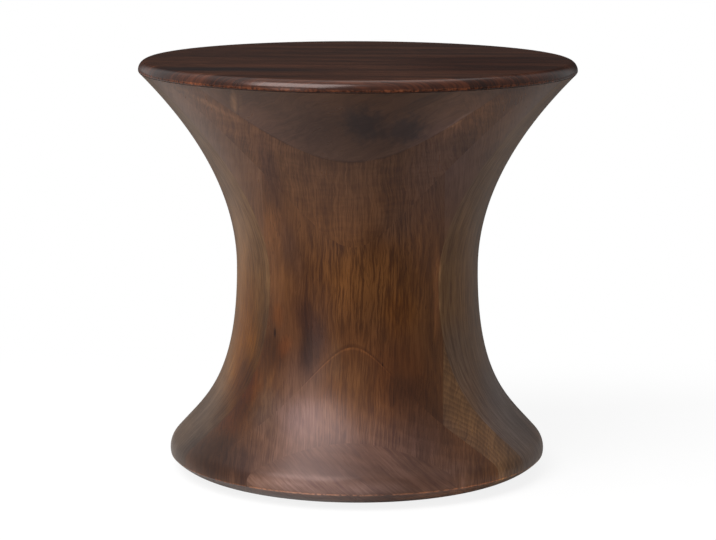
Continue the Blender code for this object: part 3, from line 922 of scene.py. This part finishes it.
SIDE_FIELD = (
    # A darker tone with a painted grey sheen down the lower left side
    Mark((-0.185, 0.0, 0.050), (0.075, 0.3, 0.100), (0.57, 0.69, 1.02), ragged=0.02),
    Mark((-0.105, -0.08, 0.220), (0.020, 0.2, 0.100), (0.72, 0.70, 0.66)),
    Mark((-0.118, -0.07, 0.145), (0.022, 0.2, 0.100), (0.82, 0.76, 0.62)),
    Mark((-0.130, -0.03, 0.250), (0.016, 0.2, 0.090), (1.25, 1.25, 1.25)),
    Mark((0.118, -0.06, 0.240), (0.018, 0.2, 0.105), (1.30, 1.28, 1.22)),
    # Painted grey sheen on both upper sides and down the lower right side
    Mark((-0.190, -0.06, 0.405), (0.075, 0.3, 0.085), (1.02, 1.13, 1.45), ragged=0.02),
    Mark((0.180, -0.05, 0.390), (0.075, 0.3, 0.090), (1.20, 1.28, 1.50), ragged=0.02),
    Mark((0.108, -0.08, 0.135), (0.032, 0.2, 0.065), (0.80, 0.95, 1.45), ragged=0.02),
    Mark((0.170, 0.0, 0.065), (0.075, 0.3, 0.105), (0.80, 1.10, 2.20), ragged=0.02),
)

# Marks of single boards: sapwood, the knot's slit, pale wedges, painted sheen and painted shade on the foot's
# lip, and smoky patches
MARKS = {
    "plank_front_3_centre": (
        *HEART,
        Mark((-0.082, -0.11, 0.190), (0.009, 0.2, 0.020), (1.25, 1.10, 0.90), ragged=0.006),
        Mark((-0.074, -0.11, 0.158), (0.010, 0.2, 0.018), (1.30, 1.10, 0.90), lean=20.0, ragged=0.006),
        Mark((-0.085, -0.11, 0.171), (0.0016, 0.2, 0.0075), (0.15, 0.12, 0.15), ragged=0.001),
        Mark((0.032, -0.14, 0.142), (0.0013, 0.2, 0.0060), (0.15, 0.12, 0.12), lean=4.0, ragged=0.001),
    ),
    "flare_block_front_4_upper": HEART[:2],
    "flare_block_front_5_upper": (
        Mark((0.013, -0.2, 0.409), (0.034, 0.2, 0.026), (0.42, 0.55, 0.80), lean=30.0, ragged=0.03),
        Mark((0.056, -0.2, 0.402), (0.028, 0.2, 0.022), (0.52, 0.62, 0.85), lean=-20.0, ragged=0.03),
        Mark((-0.114, -0.19, 0.430), (0.0035, 0.2, 0.016), (1.25, 1.27, 1.2), ragged=0.003),
    ),
    "rim_corner_front_5_left": (
        Mark((-0.121, -0.19, 0.430), (0.0050, 0.2, 0.018), (2.2, 2.3, 2.0), ragged=0.003),
    ),
    "flare_block_front_5_lower": (
        # Painted sheen: a pale lavender band along the lip of the foot
        Mark((-0.036, -0.2, 0.0250), (0.115, 0.2, 0.0135), (2.6, 3.1, 3.7), ragged=0.003),
        # Painted shade: a darker band just above the painted sheen of the lip
        Mark((-0.030, -0.2, 0.043), (0.100, 0.2, 0.010), (0.80, 0.80, 0.82), ragged=0.003),
    ),
    "corner_block_front_3_lower_left": (
        Mark((-0.112, -0.1, 0.112), (0.022, 0.2, 0.024), (1.35, 1.20, 0.95), lean=30.0, ragged=0.02),
        Mark((-0.140, -0.1, 0.072), (0.020, 0.2, 0.014), (1.30, 1.15, 0.95), lean=40.0, ragged=0.02),
    ),
    "seat_board_1": (Mark((-0.15, -0.145, 0.457), (0.14, 0.035, 0.02), (0.65, 0.90, 1.25)),),
    "seat_board_2": (
        Mark((-0.15, -0.130, 0.457), (0.16, 0.032, 0.02), (0.55, 0.80, 1.15)),
        Mark((-0.10, -0.080, 0.457), (0.13, 0.006, 0.02), (2.0, 1.8, 1.6), ragged=0.002),
        Mark((0.14, -0.08, 0.457), (0.12, 0.12, 0.02), (0.70, 0.52, 0.42)),
    ),
    "seat_board_3": (Mark((0.14, -0.02, 0.457), (0.13, 0.12, 0.02), (0.70, 0.52, 0.42)),),
}


def board_wood(node):
    """The wood of a board, its own or its kind's."""
    if node in WOODS:
        return WOODS[node]
    if node.startswith("plank"):
        return FACE_WOOD if node.endswith("3_centre") else SIDE_WOOD
    if node.startswith("rim"):
        return RIM_WOOD
    if "upper" not in node:
        return FOOT_WOOD
    return RIM_WOOD if "_5_" in node else FLARE_WOOD


def board_marks(node):
    """The patches on a board: its own, and those that run over several boards."""
    own = MARKS.get(node, ())
    if "front" in node:
        own += FRONT_FIELD
    if "back" in node:
        own += BACK_FIELD
    if node.startswith("plank") and not node.endswith("3_centre"):
        own += SIDE_FIELD
    return own


def board_lines(node):
    """The glue lines, the painted highlight and painted shade along the lower arch, and the worn edge that
    show on a board.
    """
    lines = [WORN_EDGE]
    if node == "flare_block_front_4_lower":
        lines.append(LOWER_ARCH_HIGHLIGHT)
    if node == "plank_front_3_centre":
        lines.append(ARCH_SHADE)
    if node in ("flare_block_front_4_upper", "flare_block_front_5_upper"):
        lines.append(UPPER_ARCH)
    return lines


def cut_boards(blank, nodes, waist_height, finish):
    """Cuts a turned blank into its layers, and each layer into its boards."""
    layers = {}
    for node in nodes:
        key = tuple(round(place.y, LAYER_DIGITS) for place, normal in layer_cuts(node))
        if key not in layers:
            layers[key] = cut_copy(blank, f"layer_{len(layers)}", layer_cuts(node))
        board = cut_copy(layers[key], f"{node}_turned", side_cuts(node, waist_height))
        wood = wood_material(f"{node}_wood", board_wood(node), finish, board_marks(node), board_lines(node))
        finish_piece(board, node, wood)
    for layer in layers.values():
        bpy.data.objects.remove(layer)


class STOOL_OT_pedestal(bpy.types.Operator):
    """Turns the hourglass and cuts it into its planks and blocks"""

    bl_idname = "stool.pedestal"
    bl_label = "Pedestal Boards"

    def execute(self, context):
        shape = context.scene.stool_shape
        blank = turned_blank("pedestal_blank", pedestal_outline(shape), shape.segments)
        nodes = [n for n in NODES if n.startswith(("plank", "corner", "flare", "rim"))]
        cut_boards(blank, nodes, shape.waist_height, context.scene.stool_finish)
        bpy.data.objects.remove(blank)
        return {"FINISHED"}


class STOOL_OT_seat(bpy.types.Operator):
    """Turns the seat disc and cuts it into its boards"""

    bl_idname = "stool.seat"
    bl_label = "Seat Boards"

    def execute(self, context):
        shape = context.scene.stool_shape
        finish = context.scene.stool_finish
        blank = turned_blank("seat_blank", seat_outline(shape), shape.segments)
        nodes = [n for n in NODES if n.startswith("seat_board")]
        for node in nodes:
            cuts = []
            if node != nodes[0]:
                cuts.append(box_cut(node, Y_AXIS, -1))
            if node != nodes[-1]:
                cuts.append(box_cut(node, Y_AXIS, 1))
            board = cut_copy(blank, f"{node}_turned", cuts)
            wood = wood_material(f"{node}_wood", SEAT_WOOD, finish, MARKS.get(node, ()), SEAT_LINES)
            finish_piece(board, node, wood)
        bpy.data.objects.remove(blank)
        return {"FINISHED"}


def edit_picked(piece, kind, wanted):
    """Goes into edit mode with only those faces or points selected that pass a test."""
    select_only(piece)
    bpy.context.tool_settings.mesh_select_mode = PICK_MODES[kind]
    bpy.ops.object.mode_set(mode="EDIT")
    bpy.ops.mesh.select_all(action="DESELECT")
    bpy.ops.object.mode_set(mode="OBJECT")
    for element in getattr(piece.data, kind):
        element.select = wanted(element)
    bpy.ops.object.mode_set(mode="EDIT")


def upright_round(name, radius, depth, sides):
    """An upright round body at the origin."""
    bpy.ops.object.select_all(action="DESELECT")
    bpy.ops.mesh.primitive_cylinder_add(vertices=sides, radius=radius, depth=depth)
    body = bpy.context.active_object
    name_piece(body, name)
    return body


def node_middle(node):
    """The middle of a node's box."""
    low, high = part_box(node)
    return (low + high) / 2


def copy_to(pattern, name, place):
    """A copy of a piece made at the origin, moved to its place with the move in its mesh."""
    select_only(pattern)
    bpy.ops.object.duplicate()
    made = bpy.context.active_object
    name_piece(made, name)
    bpy.ops.transform.translate(value=place)
    bpy.ops.object.transform_apply(location=True, rotation=False, scale=False)
    return made


def fluted_dowel(shape, radius, depth):
    """A dowel at the origin, grooved along its length and chamfered at both ends."""
    sides = shape.dowel_flutes * FLUTE_SIDES
    chamfer = shape.dowel_chamfer
    dowel = upright_round("dowel_pattern", radius, depth - 2 * chamfer, sides)
    narrow = (radius - chamfer) / radius
    for side in (1, -1):
        edit_picked(dowel, "polygons", lambda face: face.normal.z * side > NEARLY_SQUARE)
        bpy.ops.mesh.extrude_region_move(TRANSFORM_OT_translate={"value": (0.0, 0.0, side * chamfer)})
        bpy.ops.transform.resize(value=(narrow, narrow, 1.0), center_override=(0.0, 0.0, side * depth / 2))
        bpy.ops.object.mode_set(mode="OBJECT")
    step = 2 * math.pi / shape.dowel_flutes
    half_side = math.pi / sides
    groove = 1.0 - shape.flute_depth

    def in_groove(point):
        return abs((math.atan2(point.co.y, point.co.x) + step / 2) % step - step / 2) < half_side

    edit_picked(dowel, "vertices", in_groove)
    bpy.ops.transform.resize(value=(groove, groove, 1.0), center_override=(0.0, 0.0, 0.0))
    bpy.ops.object.mode_set(mode="OBJECT")
    return dowel


def drill(piece, cutter):
    """Cuts a hole into a piece."""
    select_only(piece)
    hole = piece.modifiers.new("hole", "BOOLEAN")
    hole.operation = "DIFFERENCE"
    hole.object = cutter
    bpy.ops.object.modifier_apply(modifier=hole.name)
    bpy.ops.object.shade_smooth_by_angle(angle=SMOOTH_ANGLE)


def boards_round(place, reach):
    """The boards that a dowel of this middle and reach goes into."""
    found = []
    for node in NODES:
        low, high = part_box(node)
        if node.startswith(("seat_dowel", "foot_pad")):
            continue
        if all(low[i] - reach[i] < place[i] < high[i] + reach[i] for i in range(3)):
            found.append(node)
    return found


class STOOL_OT_dowels(bpy.types.Operator):
    """Turns the dowels between seat and pedestal, and drills the boards for them"""

    bl_idname = "stool.dowels"
    bl_label = "Seat Dowels"

    def execute(self, context):
        shape = context.scene.stool_shape
        wood = wood_material("dowel_wood", DOWEL_WOOD, context.scene.stool_finish)
        nodes = [n for n in NODES if n.startswith("seat_dowel")]
        low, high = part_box(nodes[0])
        radius, depth = (high.x - low.x) / 2, high.z - low.z
        pattern = fluted_dowel(shape, radius, depth)
        hole_radius = radius + shape.dowel_clearance
        hole_depth = depth + 2 * shape.dowel_clearance
        drill_bit = upright_round("drill_bit", hole_radius, hole_depth, HOLE_SIDES)
        for node in nodes:
            middle = node_middle(node)
            cutter = copy_to(drill_bit, "hole_cutter", middle)
            for board in boards_round(middle, (hole_radius, hole_radius, hole_depth / 2)):
                drill(bpy.data.objects[f"{board}_turned"], cutter)
            bpy.data.objects.remove(cutter)
            finish_piece(copy_to(pattern, f"{node}_fluted", middle), node, wood)
        bpy.data.objects.remove(drill_bit)
        bpy.data.objects.remove(pattern)
        return {"FINISHED"}


class STOOL_OT_pads(bpy.types.Operator):
    """Cuts the felt pads under the foot"""

    bl_idname = "stool.pads"
    bl_label = "Felt Pads"

    def execute(self, context):
        shape = context.scene.stool_shape
        felt = felt_material(context.scene.stool_finish)
        nodes = [n for n in NODES if n.startswith("foot_pad")]
        low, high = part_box(nodes[0])
        pattern = upright_round("pad_pattern", (high.x - low.x) / 2, high.z - low.z, PAD_SIDES)
        edit_picked(pattern, "polygons", lambda face: face.normal.z < -NEARLY_SQUARE)
        bpy.ops.mesh.bevel(offset=shape.pad_rounding, segments=PAD_ROUNDING_STEPS)
        bpy.ops.object.mode_set(mode="OBJECT")
        edit_picked(pattern, "polygons", lambda face: face.normal.z < -SQUARE)
        bpy.ops.mesh.inset(thickness=shape.pad_border)
        bpy.ops.transform.translate(value=(0.0, 0.0, shape.pad_dish))
        bpy.ops.object.mode_set(mode="OBJECT")
        for node in nodes:
            finish_piece(copy_to(pattern, f"{node}_felt", node_middle(node)), node, felt)
        bpy.data.objects.remove(pattern)
        return {"FINISHED"}


def add_softbox(stage, box):
    """A softbox that faces the stool, with the place, size and power that the stage gives it."""
    towards = Vector(getattr(stage, f"{box}_direction")).normalized()
    distance = getattr(stage, f"{box}_distance")
    bpy.ops.object.light_add(type="AREA", location=LIGHT_TARGET + towards * distance)
    lamp = bpy.context.active_object
    name_piece(lamp, f"{box}_softbox")
    lamp.data.shape = "RECTANGLE"
    lamp.data.size = getattr(stage, f"{box}_width")
    lamp.data.size_y = getattr(stage, f"{box}_length")
    lamp.data.energy = getattr(stage, f"{box}_power")
    lamp.rotation_euler = towards.to_track_quat("Z", "Y").to_euler()


def paper_material(stage):
    """White paper that takes the stool's shadow. Past its lit part it is dark, but not to the camera."""
    made = bpy.data.materials.new("white_paper")
    made.use_nodes = True
    tree = made.node_tree
    tree.nodes.clear()
    place = add_node(tree, "TexCoord").outputs["Object"]
    along = add_node(tree, "SeparateXYZ", {0: place}).outputs
    front = ramp(tree, along["Y"], -stage.paper_front, -stage.paper_front - stage.paper_fade)
    right = ramp(tree, along["X"], 0.0, RIGHT_FADE, 0.0, stage.right_shade)
    back = ramp(tree, along["Y"], BACK_START, BACK_END)
    beside = maths(tree, "ABSOLUTE", along["X"])
    slant = maths(tree, "DIVIDE", beside, maths(tree, "MAXIMUM", along["Y"], BACK_START))
    behind = maths(tree, "MULTIPLY", back, ramp(tree, slant, *BEHIND_SLANT, stage.back_shade, 0.0))
    away = maths(tree, "MAXIMUM", maths(tree, "MAXIMUM", front, behind), right)
    distant = maths(tree, "MAXIMUM", maths(tree, "MAXIMUM", front, back), right)
    path = add_node(tree, "LightPath").outputs
    straight = maths(tree, "MAXIMUM", path["Is Camera Ray"], path["Is Transmission Ray"])
    unseen = mix_colour(tree, away, grey(stage.paper_white), grey(stage.paper_far_white))
    shown = mix_colour(tree, straight, unseen, grey(stage.paper_seen_white))
    diffuse = add_node(tree, "BsdfDiffuse", {"Color": shown}).outputs["BSDF"]
    glow = add_node(tree, "Emission", {"Strength": 1.0}).outputs["Emission"]
    seen = maths(tree, "MULTIPLY", straight, mix_value(tree, distant, stage.paper_glow, 1.0))
    reach = vector_maths(tree, "DISTANCE", place, stage.pool_place)["Value"]
    pool = ramp(tree, maths(tree, "DIVIDE", reach, stage.pool_reach), *POOL_STEP, stage.pool_glow, 0.0)
    plain = mix_value(tree, away, stage.paper_mirror_glow, 0.0)
    mirrored = maths(tree, "MULTIPLY", path["Is Glossy Ray"], maths(tree, "MAXIMUM", pool, plain))
    glowing = maths(tree, "MAXIMUM", seen, mirrored)
    surface = add_node(tree, "MixShader", {0: glowing, 1: diffuse, 2: glow}).outputs["Shader"]
    add_node(tree, "OutputMaterial", {"Surface": surface})
    return made


def studio_world(stage):
    """A dim room: dark behind the stool, brighter overhead, in front, at both sides and towards the left."""
    made = bpy.data.worlds.new("studio")
    made.use_nodes = True
    tree = made.node_tree
    tree.nodes.clear()
    outward = add_node(tree, "TexCoord").outputs["Generated"]
    split = add_node(tree, "SeparateXYZ", {0: outward}).outputs
    overhead = Vector(stage.ceiling_direction).normalized()
    height = vector_maths(tree, "DOT_PRODUCT", outward, overhead)["Value"]
    rise = ramp(tree, height, *CEILING_STEP, stage.horizon_light, stage.ceiling_light)
    leftward = add_node(tree, "MapRange", {
        "Value": split["X"], "From Min": -1.0, "From Max": 1.0,
        "To Min": 1.0 + stage.left_share, "To Max": 1.0 - stage.left_share,
    }).outputs["Result"]
    front = ramp(tree, split["Y"], *FRONT_STEP, 0.0, stage.front_light)
    is_glossy = add_node(tree, "LightPath").outputs["Is Glossy Ray"]
    panels = mix_value(tree, is_glossy, stage.side_light, stage.side_mirror)
    receding = maths(tree, "MULTIPLY", split["Y"], PANEL_LEAN)
    slant = maths(tree, "SUBTRACT", maths(tree, "ABSOLUTE", split["X"]), receding)
    sideways = maths(tree, "MULTIPLY", ramp(tree, slant, *PANEL_STEP), panels)
    around = maths(tree, "MAXIMUM", maths(tree, "MAXIMUM", rise, front), sideways)
    strength = maths(tree, "MULTIPLY", around, leftward)
    light = add_node(tree, "Background", {"Color": grey(1.0), "Strength": strength})
    add_node(tree, "OutputWorld", {"Surface": light.outputs["Background"]})
    return made


def aim_camera(scene, stage):
    """A long lens, a little to the right of the front, looking down at the seat."""
    azimuth = stage.camera_azimuth
    distance = stage.camera_distance
    place = (distance * math.sin(azimuth), -distance * math.cos(azimuth), stage.camera_height)
    bpy.ops.object.camera_add(location=place)
    camera = bpy.context.active_object
    camera.name = "photo_camera"
    upright = Matrix.Rotation(azimuth, 3, "Z") @ Matrix.Rotation(math.pi / 2 - stage.camera_pitch, 3, "X")
    camera.rotation_euler = (upright @ Matrix.Rotation(stage.camera_roll, 3, "Z")).to_euler()
    camera.data.sensor_width = SENSOR_WIDTH
    camera.data.lens = stage.camera_lens
    camera.data.shift_x = stage.camera_shift
    scene.camera = camera


class STOOL_OT_stage(bpy.types.Operator):
    """Adds the paper floor, the lights and the camera"""

    bl_idname = "stool.stage"
    bl_label = "Stage"

    def execute(self, context):
        scene = context.scene
        stage = scene.stool_stage
        scene.view_settings.view_transform = "Standard"
        bpy.ops.object.select_all(action="DESELECT")
        bpy.ops.mesh.primitive_plane_add(size=FLOOR_SIZE)
        floor = context.active_object
        name_piece(floor, "floor")
        floor.data.materials.append(paper_material(stage))
        scene.world = studio_world(stage)
        for box in SOFTBOXES:
            add_softbox(stage, box)
        aim_camera(scene, stage)
        return {"FINISHED"}


class STOOL_PT_stool(bpy.types.Panel):
    """The steps that build the stool, and its sizes and colours"""

    bl_idname = "STOOL_PT_stool"
    bl_label = "Round Stool"
    bl_space_type = "VIEW_3D"
    bl_region_type = "UI"
    bl_category = "Stool"

    def draw(self, context):
        layout = self.layout
        for operator in OPERATORS:
            layout.operator(operator.bl_idname)
        for group in (context.scene.stool_shape, context.scene.stool_finish, context.scene.stool_stage):
            column = layout.column()
            for name in group.__annotations__:
                column.prop(group, name)


GROUPS = (StoolShape, StoolFinish, StoolStage)
OPERATORS = (STOOL_OT_pedestal, STOOL_OT_seat, STOOL_OT_dowels, STOOL_OT_pads, STOOL_OT_stage)
CLASSES = (*GROUPS, *OPERATORS, STOOL_PT_stool)


def register():
    for cls in CLASSES:
        bpy.utils.register_class(cls)
    bpy.types.Scene.stool_shape = PointerProperty(type=StoolShape)
    bpy.types.Scene.stool_finish = PointerProperty(type=StoolFinish)
    bpy.types.Scene.stool_stage = PointerProperty(type=StoolStage)


def unregister():
    del bpy.types.Scene.stool_stage
    del bpy.types.Scene.stool_finish
    del bpy.types.Scene.stool_shape
    for cls in reversed(CLASSES):
        bpy.utils.unregister_class(cls)


def main():
    register()
    bpy.ops.stool.pedestal()
    bpy.ops.stool.seat()
    bpy.ops.stool.dowels()
    bpy.ops.stool.pads()
    bpy.ops.stool.stage()


if __name__ == "__main__":
    main()
